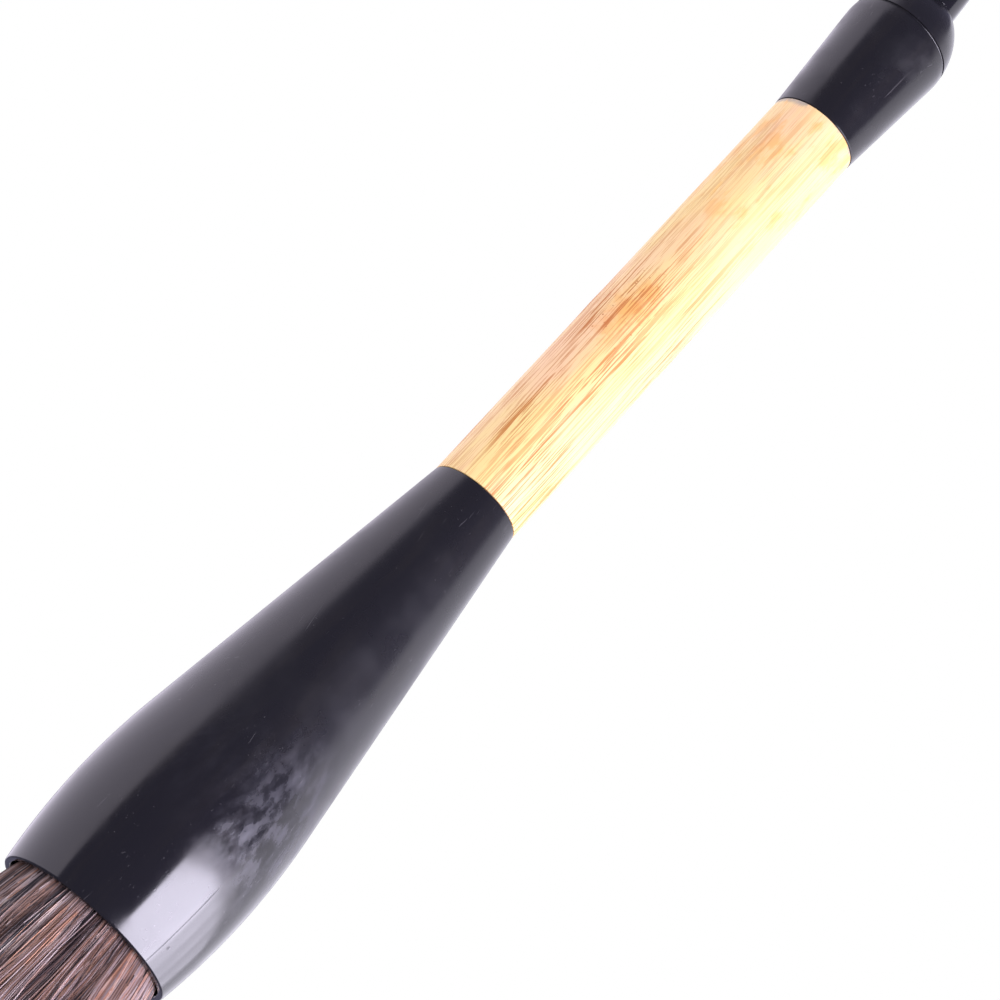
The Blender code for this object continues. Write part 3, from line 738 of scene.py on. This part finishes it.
class Growth(Wiring):
    """A geometry node tree with named inputs, built step by step."""

    def __init__(self, name, inputs):
        super().__init__(bpy.data.node_groups.new(name, "GeometryNodeTree"))
        self.tree.interface.new_socket(name="Geometry", in_out="INPUT", socket_type="NodeSocketGeometry")
        self.sockets = {}
        for label, kind in inputs:
            made = self.tree.interface.new_socket(name=label, in_out="INPUT", socket_type="NodeSocket" + kind)
            self.sockets[label] = made.identifier
        self.tree.interface.new_socket(name="Geometry", in_out="OUTPUT", socket_type="NodeSocketGeometry")
        self.given = self.tree.nodes.new("NodeGroupInput").outputs

    def tube(self, curve, section, scale):
        """Sweep a section along curves, as thick as the scale says, with closed ends."""
        swept = self.add("GeometryNodeCurveToMesh", None, Curve=curve, Profile_Curve=section, Scale=scale,
                         Fill_Caps=True)
        return swept.outputs[0]

    def close(self, geometry):
        """End the tree with real geometry in the material it is given."""
        smooth = self.add("GeometryNodeSetShadeSmooth", None, Geometry=geometry, Shade_Smooth=True)
        real = self.add("GeometryNodeRealizeInstances", None, Geometry=smooth.outputs[0])
        dressed = self.add("GeometryNodeSetMaterial", None, Geometry=real.outputs[0],
                           Material=self.given["Material"])
        self.add("NodeGroupOutput", None, Geometry=dressed.outputs[0])

    def grow(self, name, seed_data, values):
        """Run the tree on mesh data and return the plain piece that comes out."""
        piece = bpy.data.objects.new(name, seed_data)
        bpy.context.scene.collection.objects.link(piece)
        modifier = piece.modifiers.new("growth", "NODES")
        modifier.node_group = self.tree
        for label, value in values.items():
            modifier[self.sockets[label]] = value
        return made_plain(piece)


thread_finish, wires, shader, where = new_finish("waxed_linen", Roughness=0.7)
lint = wires.noise(where, LINT_PER_METRE, 5.0, 0.7)
thread_colour = wires.blend(wires.span(lint, 0.36, 0.66), LINEN_DARK, LINEN_PALE)
waxed = wires.span(wires.noise(where, 300.0, 2.0), 0.5, 0.65, 0.0, 0.5)
thread_colour = wires.blend(waxed, thread_colour, RESIN_AMBER)
lay_on(wires, shader, thread_colour,
       wires.span(lint, 0.3, 0.7, 0.56, 0.82), wires.bump(0.6, 0.00008, lint))

winding = Growth("thread_winding", [("Turns", "Float"), ("Winding Radius", "Float"), ("Rise", "Float"),
                                    ("Foot Height", "Float"), ("Thread Radius", "Float"),
                                    ("Twists", "Float"), ("Material", "Material")])
spiral = winding.add("GeometryNodeCurveSpiral", None, Resolution=THREAD_STEPS,
                     Rotations=winding.given["Turns"],
                     Start_Radius=winding.given["Winding Radius"], End_Radius=winding.given["Winding Radius"],
                     Height=winding.given["Rise"])
lift = winding.add("ShaderNodeCombineXYZ", None, Z=winding.given["Foot Height"])
raised = winding.add("GeometryNodeSetPosition", None, Geometry=spiral.outputs[0], Offset=lift.outputs[0])
along = winding.add("GeometryNodeSplineParameter").outputs["Factor"]
twist = winding.times(along, winding.times(winding.given["Twists"], math.tau))
twisted = winding.add("GeometryNodeSetCurveTilt", None, Curve=raised.outputs[0], Tilt=twist)
ply = winding.add("GeometryNodeCurvePrimitiveCircle", None, Resolution=PLY_SIDES, Radius=1.0)
rim = winding.add("GeometryNodeInputPosition").outputs[0]
rim_x = winding.math("ABSOLUTE", winding.add("ShaderNodeSeparateXYZ", None, Vector=rim).outputs["X"])
waist = winding.plus(winding.times(rim_x, 1 - PLY_WAIST), PLY_WAIST)
pinched = winding.add("ShaderNodeVectorMath", {"operation": "SCALE"}, Vector=rim, Scale=waist)
two_ply = winding.add("GeometryNodeSetPosition", None, Geometry=ply.outputs[0],
                      Position=pinched.outputs["Vector"])
winding.close(winding.tube(twisted.outputs[0], two_ply.outputs[0], winding.given["Thread Radius"]))

thread_low, thread_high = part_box("root_thread")
winding_radius = thread_high.x - THREAD_RADIUS
thread = winding.grow("wound_thread", bpy.data.meshes.new("wound_thread"), {
    "Turns": THREAD_TURNS,
    "Winding Radius": winding_radius,
    "Rise": thread_high.z - thread_low.z - 2 * THREAD_RADIUS,
    "Foot Height": thread_low.z + THREAD_RADIUS,
    "Thread Radius": THREAD_RADIUS,
    "Twists": THREAD_TURNS * math.tau * winding_radius / (PLY_TWIST * 2),
    "Material": thread_finish,
})
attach(thread, "brush_handle")
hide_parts("root_thread")


# --- Hair core ----------------------------------------------------------------
# The imported inner hair, stiff and dark. Its near-black is partly the hair's own tone and partly painted
# shade for the gaps between the locks over it. Its surface is ridged by the locks that lie in it. It is made
# in three runs, which meet at two cut depths.

HAIR_BELLY_RADIUS = 0.0135
HAIR_BELLY_DEPTH = 0.020
HAIR_TIP_RADIUS = 0.0005
TAPER_FULLNESS = 1.6
TAPER_POINT = 0.9
HAIR_CLEARANCE = 0.0003
ROOT_HAIR_LENGTH = 0.014
KNOT_RADIUS = 0.0075
CORE_SIDES = 300
CORE_RINGS = 26
CORE_INSET = 0.0010
RIDGE_WAVES = 7
RIDGE_DEPTH = 0.018
LIE_STRETCH = 1.5
# Partly the inner hair's own dark tone and partly painted shade for the gaps between the locks.
CORE_DARK_AND_SHADE = (0.012, 0.009, 0.009)
CORE_BROWN = (0.060, 0.036, 0.028)
FIRST_CUT = 0.0210
SECOND_CUT = 0.04625

core_share = 1 - CORE_INSET / HAIR_BELLY_RADIUS
tuft_length = mouth_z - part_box("tip_core_hair")[0].z
hair_mouth_radius = socket_mouth_radius - HAIR_CLEARANCE


def hair_radius(depth):
    """Outer radius of the tuft at a depth below the mouth, negative inside the ferrule."""
    if depth > HAIR_BELLY_DEPTH:
        share = min((depth - HAIR_BELLY_DEPTH) / (tuft_length - HAIR_BELLY_DEPTH), 1.0)
        fullness = (1 - share ** TAPER_FULLNESS) ** TAPER_POINT
        return HAIR_TIP_RADIUS + (HAIR_BELLY_RADIUS - HAIR_TIP_RADIUS) * fullness
    if depth > 0:
        narrowing = (1 - depth / HAIR_BELLY_DEPTH) ** 2
        return HAIR_BELLY_RADIUS + (hair_mouth_radius - HAIR_BELLY_RADIUS) * narrowing
    return hair_mouth_radius + (KNOT_RADIUS - hair_mouth_radius) * -depth / ROOT_HAIR_LENGTH


# A run of hair: the depths where it starts and ends, two bodies and the depths of a bend
# between them, which nothing in the script applies, and the CAD solids of the core and of the
# mantle that it stands for.
HairRun = namedtuple("HairRun", "name start end bodies bend core_nodes mantle_nodes")
HAIR_RUNS = (
    HairRun("root", -0.0138, FIRST_CUT, ("brush_handle", "belly_hair"), (0.0010, 0.0190),
            ("base_core_hair", "belly_core_hair"), ("base_mantle_hair", "belly_mantle_hair")),
    HairRun("waist", FIRST_CUT, SECOND_CUT, ("belly_hair", "waist_hair"), (0.0230, 0.0460),
            ("waist_core_hair",), ("waist_mantle_hair",)),
    HairRun("tip", SECOND_CUT, 0.0775, ("waist_hair", "tip_hair"), (0.0465, 0.0640),
            ("tip_core_hair",), ("tip_mantle_hair",)),
)


def bend_with(piece):
    """Bake a run of hair's transform into its mesh."""
    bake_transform(piece)


def give_values(data, label, kind, field, values):
    """Store a value for each of a mesh's points."""
    stored = data.attributes.new(label, kind, "POINT").data
    stored.foreach_set(field, np.array(values, np.float32).ravel())


core_finish, wires, shader, where = new_finish("core_hair", IOR=1.5)
lie = wires.add("ShaderNodeAttribute", {"attribute_name": "lie"}).outputs["Vector"]
core_lines = wires.noise(lie, (60.0, 60.0, 60.0), 5.0, 0.7)
# Near-black where it shows between the locks: partly the hair's own tone, partly painted shade.
lay_on(wires, shader, wires.blend(wires.span(core_lines, 0.42, 0.66), CORE_DARK_AND_SHADE, CORE_BROWN),
       wires.span(core_lines, 0.3, 0.7, 0.66, 0.48), wires.bump(0.9, 0.0001, core_lines))

core_rng = np.random.default_rng(11)
ridge_waves = [(int(core_rng.integers(30, 90)), core_rng.uniform(0, math.tau), core_rng.uniform(-40, 40))
               for _ in range(RIDGE_WAVES)]
core_turns = np.linspace(0, math.tau, CORE_SIDES, endpoint=False)
core_x, core_y = np.cos(core_turns), np.sin(core_turns)


def ridged_core(run):
    """The ridged surface of one run of the core, closed at both ends."""
    verts, lies = [], []
    for depth in np.linspace(run.start, run.end, CORE_RINGS):
        ridge = sum(np.sin(n * core_turns + phase + sway * depth) for n, phase, sway in ridge_waves)
        radius = hair_radius(depth) * core_share * (1 + RIDGE_DEPTH * (ridge / RIDGE_WAVES - 1))
        verts += list(zip(radius * core_x, radius * core_y, np.full(CORE_SIDES, mouth_z - depth)))
        lies += list(zip(core_x, core_y, np.full(CORE_SIDES, depth * LIE_STRETCH)))
    sides = [(k, (k + 1) % CORE_SIDES) for k in range(CORE_SIDES)]
    faces = [(ring + a, ring + b, ring + CORE_SIDES + b, ring + CORE_SIDES + a)
             for ring in range(0, (CORE_RINGS - 1) * CORE_SIDES, CORE_SIDES) for a, b in sides]
    for ring, depth in ((0, run.start), ((CORE_RINGS - 1) * CORE_SIDES, run.end)):
        verts.append((0, 0, mouth_z - depth))
        lies.append((0, 0, depth * LIE_STRETCH))
        faces += [(ring + a, ring + b, len(verts) - 1) for a, b in sides]
    data = bpy.data.meshes.new(f"packed_core_{run.name}")
    data.from_pydata(verts, [], faces)
    give_values(data, "lie", "FLOAT_VECTOR", "vector", lies)
    shell = bmesh.new()
    shell.from_mesh(data)
    return faced_out(shell, data)


for run in HAIR_RUNS:
    core_data = ridged_core(run)
    core = placed(core_data.name, core_data, core_finish)
    bend_with(core)
    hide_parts(*run.core_nodes)


# --- Bristles -----------------------------------------------------------------
# Thousands of tapered animal hairs in mixed dark, brown and grey. They leave the lip in
# locks, flare out to the belly and draw in to a point, and some end short of it.

BRISTLE_SIDES = 3
BRISTLE_THIN = 0.000058
BRISTLE_THICK = 0.000125
BRISTLE_EDGE = math.radians(75)
LOCKS = 230
STRAY_SHARE = 0.012
STRAY_LIFT = 0.0006
OWN_TONE_SHARE = 0.42
PULL_AT_LIP = 0.25
GATHER_ABOVE_LIP = 0.004
GATHER_RUN = 0.010
THINNING = 0.45
POINT_GIRTH = 0.05
REACH_BIAS = 1.35
REACH_MORE = 0.004
REACH_STOP = 0.0002
EASE_DEPTH = 0.012
SETTLE_DEPTH = 0.022
LEVEL_SLACK = 1e-9
END_CLEARANCE = 0.0012
SHORTEST_END = 0.002
POINT_LENGTH = 0.018
POINT_SINK = 0.00030
AXIS_KEPT_CLEAR = 0.00004
BRISTLE_LEVELS = (-0.0026, -0.0008, 0.0010, 0.0032, 0.0060, 0.0090, 0.0125, 0.0165, FIRST_CUT,
                  0.0260, 0.0310, 0.0360, 0.0410, SECOND_CUT, 0.0510, 0.0555, 0.0600, 0.0645,
                  0.0685, 0.0720, 0.0750, 0.0775, 0.0800)
HAIR_TONES = ((0.00, (0.022, 0.017, 0.021)), (0.16, (0.062, 0.045, 0.053)), (0.32, (0.15, 0.085, 0.076)),
              (0.48, (0.30, 0.165, 0.130)), (0.64, (0.33, 0.25, 0.275)), (0.80, (0.48, 0.38, 0.405)),
              (0.90, (0.50, 0.24, 0.165)), (1.00, (0.66, 0.54, 0.54)))
TIP_BROWN = (0.16, 0.085, 0.055)
HAIR_FLECKS = (700.0, 700.0, 130.0)
# A coat of bristles: how many there are, how deep they lie in the tuft, and its seed.
Coat = namedtuple("Coat", "name count shallow deep seed")
BRISTLE_COATS = (Coat("inner", 2500, 0.00050, 0.00105, 23), Coat("outer", 3500, 0.0, 0.00055, 29))

bristle_finish, wires, shader, where = new_finish("mixed_bristles", IOR=1.55)
tone = wires.add("ShaderNodeAttribute", {"attribute_name": "tone"}).outputs["Fac"]
length_along = wires.add("ShaderNodeAttribute", {"attribute_name": "reach"}).outputs["Fac"]
flecks = wires.noise(where, HAIR_FLECKS, 3.0, 0.6)
tone_here = wires.math("ADD", tone, wires.span(flecks, 0.25, 0.75, -0.10, 0.10), clamp=True)
ramp = wires.add("ShaderNodeValToRGB", None, Fac=tone_here)
while len(ramp.color_ramp.elements) < len(HAIR_TONES):
    ramp.color_ramp.elements.new(0.5)
for element, (position, colour) in zip(ramp.color_ramp.elements, HAIR_TONES):
    element.position = position
    element.color = (*colour, 1.0)
browned = wires.span(length_along, 0.35, 1.0, 0.0, 0.45)
lay_on(wires, shader, wires.blend(browned, ramp.outputs["Color"], TIP_BROWN),
       wires.span(flecks, 0.3, 0.7, 0.30, 0.48))

sweep = Growth("bristle_sweep", [("Sides", "Int"), ("Material", "Material")])
paths = sweep.add("GeometryNodeMeshToCurve", None, Mesh=sweep.given["Geometry"])
outward = sweep.add("ShaderNodeVectorMath", {"operation": "MULTIPLY"},
                    **{"0": sweep.add("GeometryNodeInputPosition").outputs[0], "1": (1.0, 1.0, 0.0)})
facing = sweep.add("GeometryNodeSetCurveNormal", {"mode": "FREE"}, Curve=paths.outputs[0],
                   Normal=outward.outputs["Vector"])
thickness = sweep.add("GeometryNodeInputNamedAttribute", {"data_type": "FLOAT"}, Name="thickness")
section = sweep.add("GeometryNodeCurvePrimitiveCircle", None, Resolution=sweep.given["Sides"], Radius=1.0)
sweep.close(sweep.tube(facing.outputs[0], section.outputs[0], thickness.outputs[0]))

hair_levels = np.array(BRISTLE_LEVELS)
level_radius = np.array([hair_radius(depth) for depth in hair_levels])
taper_depths = np.linspace(HAIR_BELLY_DEPTH, tuft_length, 400)
taper_shares = np.array([hair_radius(depth) for depth in taper_depths]) / HAIR_BELLY_RADIUS


def wrapped(turn):
    """A turn brought to within half a round of zero."""
    return (turn + math.pi) % math.tau - math.pi


class HairCoat:
    """One coat of the tuft: the habits of its locks and of every bristle in it."""

    def __init__(self, coat):
        rng = np.random.default_rng(coat.seed)
        lock_turn = np.sort(rng.uniform(0, math.tau, LOCKS))
        lock_tone = rng.beta(1.1, 1.3, LOCKS)
        lock_pull = rng.uniform(0.35, 0.85, LOCKS)
        lock_sway = rng.normal(0, 0.085, LOCKS)
        lock_wave = rng.uniform(0.004, 0.026, LOCKS)
        lock_rate = rng.uniform(230, 520, LOCKS)
        lock_phase = rng.uniform(0, math.tau, LOCKS)
        lock_lift = rng.uniform(-0.00035, 0.00012, LOCKS)
        self.turn = rng.uniform(0, math.tau, coat.count)
        lock = np.array([int(np.argmin(np.abs(wrapped(lock_turn - t)))) for t in self.turn])
        self.gap = wrapped(lock_turn[lock] - self.turn)
        self.pull, self.sway, self.lift = lock_pull[lock], lock_sway[lock], lock_lift[lock]
        self.swing, self.swing_rate, self.swing_phase = lock_wave[lock], lock_rate[lock], lock_phase[lock]
        self.inset = rng.uniform(coat.shallow, coat.deep, coat.count)
        self.girth = rng.uniform(BRISTLE_THIN, BRISTLE_THICK, coat.count)
        own_tone = rng.beta(1.0, 1.1, coat.count)
        self.tone = np.where(rng.random(coat.count) < OWN_TONE_SHARE, own_tone,
                             np.clip(lock_tone[lock] + rng.normal(0, 0.10, coat.count), 0, 1))
        self.drift = rng.normal(0, 0.075, coat.count)
        self.wave = rng.uniform(0.002, 0.011, coat.count)
        self.wave_phase = rng.uniform(0, math.tau, coat.count)
        self.wave_rate = rng.uniform(90, 260, coat.count)
        self.stray = rng.random(coat.count) < STRAY_SHARE
        reach = np.interp(rng.random(coat.count) ** REACH_BIAS, taper_shares[::-1], taper_depths[::-1])
        self.reach = np.minimum(reach + REACH_MORE, tuft_length - REACH_STOP)

    def depths(self, i, run):
        """The depths of one bristle's points in a run: the shared levels, and its own end."""
        low = -math.inf if run is HAIR_RUNS[0] else run.start - LEVEL_SLACK
        high = math.inf if run is HAIR_RUNS[-1] else run.end + LEVEL_SLACK
        end = self.reach[i]
        kept = [level for level in hair_levels if low <= level <= high and level < end - END_CLEARANCE]
        if low + SHORTEST_END < end <= high:
            kept.append(end)
        return np.array(kept)

    def path(self, i, depth):
        """The points of one bristle at its depths, and its thickness there."""
        shell = np.interp(depth, hair_levels, level_radius)
        girth_share = shell / HAIR_BELLY_RADIUS
        ease = np.clip(depth / EASE_DEPTH, 0, 1)
        settle = 1 - np.exp(-np.maximum(depth, 0) / SETTLE_DEPTH)
        gathered = np.clip((depth + GATHER_ABOVE_LIP) / GATHER_RUN, 0, 1)
        pull = self.pull[i] * (PULL_AT_LIP + (1 - PULL_AT_LIP) * ease) * gathered
        angle = self.turn[i] + self.gap[i] * pull + (self.sway[i] + self.drift[i]) * settle
        angle = angle + self.wave[i] * np.sin(depth * self.wave_rate[i] + self.wave_phase[i]) * ease
        swing = np.sin(depth * self.swing_rate[i] + self.swing_phase[i]) - math.sin(self.swing_phase[i])
        angle = angle + self.swing[i] * swing * ease
        remains = np.clip((self.reach[i] - depth) / POINT_LENGTH, 0, 1)
        taper = np.sqrt(remains) * (1 - THINNING * np.clip(depth / tuft_length, 0, 1)) + POINT_GIRTH
        wide = self.girth[i] * taper
        sink = self.inset[i] * girth_share + (1 - remains) * POINT_SINK * girth_share
        radius = shell - wide - sink + self.lift[i] * ease * girth_share
        if self.stray[i]:
            radius = radius + STRAY_LIFT * ease * settle
        radius = np.maximum(radius, AXIS_KEPT_CLEAR)
        return list(zip(radius * np.cos(angle), radius * np.sin(angle), mouth_z - depth)), wide


for coat in BRISTLE_COATS:
    hairs = HairCoat(coat)
    for run in HAIR_RUNS:
        points, edges, widths, tones, reaches = [], [], [], [], []
        for i in range(coat.count):
            depth = hairs.depths(i, run)
            if len(depth) < 2:
                continue
            first = len(points)
            path, wide = hairs.path(i, depth)
            points += path
            edges += [(first + k, first + k + 1) for k in range(len(depth) - 1)]
            widths += list(wide)
            tones += [hairs.tone[i]] * len(depth)
            reaches += list(depth / tuft_length)
        data = bpy.data.meshes.new(f"{coat.name}_bristles_{run.name}")
        data.from_pydata(points, edges, [])
        for label, values in (("thickness", widths), ("tone", tones), ("reach", reaches)):
            give_values(data, label, "FLOAT", "value", values)
        bristles = sweep.grow(data.name, data, {"Sides": BRISTLE_SIDES, "Material": bristle_finish})
        bristles.data.set_sharp_from_angle(angle=BRISTLE_EDGE)
        bend_with(bristles)
        if coat.name == "outer":
            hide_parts(*run.mantle_nodes)


# --- Studio -------------------------------------------------------------------
# A plain pale floor below the hanging brush, a white surround, and soft panels at both
# sides. The polished horn mirrors the panels and stays black between them.

FLOOR_BELOW_TIP = 0.055
FLOOR_RADIUS = 40.0
FLOOR_PALE = (0.93, 0.93, 0.94)
FLOOR_PALER = (0.94, 0.94, 0.94)
SURROUND_WHITE = (1.0, 1.0, 1.0)
SURROUND_SOFT = (0.97, 0.96, 0.98)
SURROUND_MIRRORED = (0.24, 0.23, 0.34)
CAMERA_DISTANCE = 0.4218
CAMERA_HEIGHT = -0.2659
CAMERA_TILT = math.radians(21.14)
CAMERA_PAN = math.radians(0.28)
CAMERA_ROLL = math.radians(42.42)
CAMERA_LENS = 134.1
KEY_LAVENDER = (0.91, 0.88, 1.0)
GLEAM_LAVENDER = (0.88, 0.84, 1.0)
GLEAM_START = 27
GLEAM_DISTANCE = 0.61
GLEAM_TALL = 0.28
# Each strip of the key's reflection: the azimuth where it ends, and its glow.
GLEAM_STRIPS = ((80, 25.0), (95, 10.0), (110, 8.0), (128, 11.0))

floor_finish, wires, shader, where = new_finish("pale_floor", Roughness=0.8)
floor_tone = wires.noise(where, 900.0, 3.0, 0.6)
lay_on(wires, shader, wires.blend(wires.span(floor_tone, 0.3, 0.7), FLOOR_PALE, FLOOR_PALER),
       wires.span(floor_tone, 0.3, 0.7, 0.75, 0.9))
floor_place = Matrix.Translation((0, 0, cad_low.z - FLOOR_BELOW_TIP))
floor_mesh = bmesh.new()
bmesh.ops.create_circle(floor_mesh, cap_ends=True, segments=96, radius=FLOOR_RADIUS, matrix=floor_place)
floor_data = bpy.data.meshes.new("pale_floor")
floor_mesh.to_mesh(floor_data)
floor_mesh.free()
floor = placed("pale_floor", floor_data, floor_finish)
floor.visible_glossy = False
floor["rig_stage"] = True

world = bpy.data.worlds.new("white_surround")
bpy.context.scene.world = world
world.use_nodes = True
surround = Wiring(world.node_tree)
path = surround.add("ShaderNodeLightPath").outputs
sky = world.node_tree.nodes["Background"]
unseen = surround.blend(path["Is Glossy Ray"], SURROUND_SOFT, SURROUND_MIRRORED)
surround.feed(sky, "Color", surround.blend(path["Is Camera Ray"], unseen, SURROUND_WHITE))
sky.inputs["Strength"].default_value = 1.0
bpy.context.scene.view_settings.view_transform = "Standard"

# The panels light the brush and not the floor, so that the floor stays plain.
lit_pieces = bpy.data.collections.new("lit_pieces")
for piece in bpy.context.scene.objects:
    if piece.type == "MESH" and not piece.get("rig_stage"):
        lit_pieces.objects.link(piece)


def panel(name, azimuth, height, distance, size, power, colour=SURROUND_WHITE, glossy=True, diffuse=True):
    """A soft panel that faces the brush. It may be kept out of the gloss or the matt light."""
    light = bpy.data.lights.new(name, "AREA")
    light.shape = "RECTANGLE"
    light.size, light.size_y = size
    light.energy = power
    light.color = colour
    lamp = bpy.data.objects.new(name, light)
    turn = math.radians(azimuth)
    lamp.location = (distance * math.sin(turn), -distance * math.cos(turn), height)
    aim = Vector((0, 0, height)) - lamp.location
    lamp.rotation_euler = aim.to_track_quat("-Z", "Y").to_euler()
    lamp.visible_camera = False
    lamp.visible_glossy = glossy
    lamp.visible_diffuse = diffuse
    lamp.light_linking.receiver_collection = lit_pieces
    bpy.context.scene.collection.objects.link(lamp)


panel("key_panel", azimuth=58, height=-0.165, distance=0.60, size=(0.52, 0.27), power=5.6,
      colour=KEY_LAVENDER, glossy=False)
# The key's reflection fades to the far side: four strips share one edge and grow wider.
for step, (end, glow) in enumerate(GLEAM_STRIPS):
    half = (end - GLEAM_START) / 2
    strip = 2 * GLEAM_DISTANCE * math.tan(math.radians(half))
    panel(f"key_gleam_{step}", azimuth=GLEAM_START + half, height=-0.162, distance=GLEAM_DISTANCE,
          size=(strip, GLEAM_TALL), power=glow * strip * GLEAM_TALL, colour=GLEAM_LAVENDER, diffuse=False)
panel("left_fill", azimuth=-75, height=0.0, distance=0.80, size=(0.80, 0.80), power=1.0,
      colour=(1.0, 0.97, 0.95), glossy=False)
panel("side_panel", azimuth=124, height=0.40, distance=0.70, size=(1.40, 1.36), power=8.0,
      colour=(0.95, 0.93, 1.0), diffuse=False)
panel("left_panel", azimuth=-114, height=0.40, distance=0.70, size=(1.90, 1.38), power=11.4,
      colour=(0.95, 0.88, 1.0), diffuse=False)
panel("back_panel", azimuth=178, height=0.10, distance=0.90, size=(1.40, 0.80), power=5.0, glossy=False)

camera_data = bpy.data.cameras.new("camera")
camera_data.lens = CAMERA_LENS
camera = bpy.data.objects.new("camera", camera_data)
bpy.context.scene.collection.objects.link(camera)
forward = Vector((math.sin(CAMERA_PAN) * math.cos(CAMERA_TILT),
                  math.cos(CAMERA_PAN) * math.cos(CAMERA_TILT), math.sin(CAMERA_TILT)))
level_right = forward.cross(Vector((0, 0, 1))).normalized()
level_up = level_right.cross(forward)
right = level_right * math.cos(CAMERA_ROLL) + level_up * math.sin(CAMERA_ROLL)
up = level_up * math.cos(CAMERA_ROLL) - level_right * math.sin(CAMERA_ROLL)
camera_turn = Matrix((right, up, -forward)).transposed().to_4x4()
camera.matrix_world = Matrix.Translation((0, -CAMERA_DISTANCE, CAMERA_HEIGHT)) @ camera_turn
bpy.context.scene.camera = camera
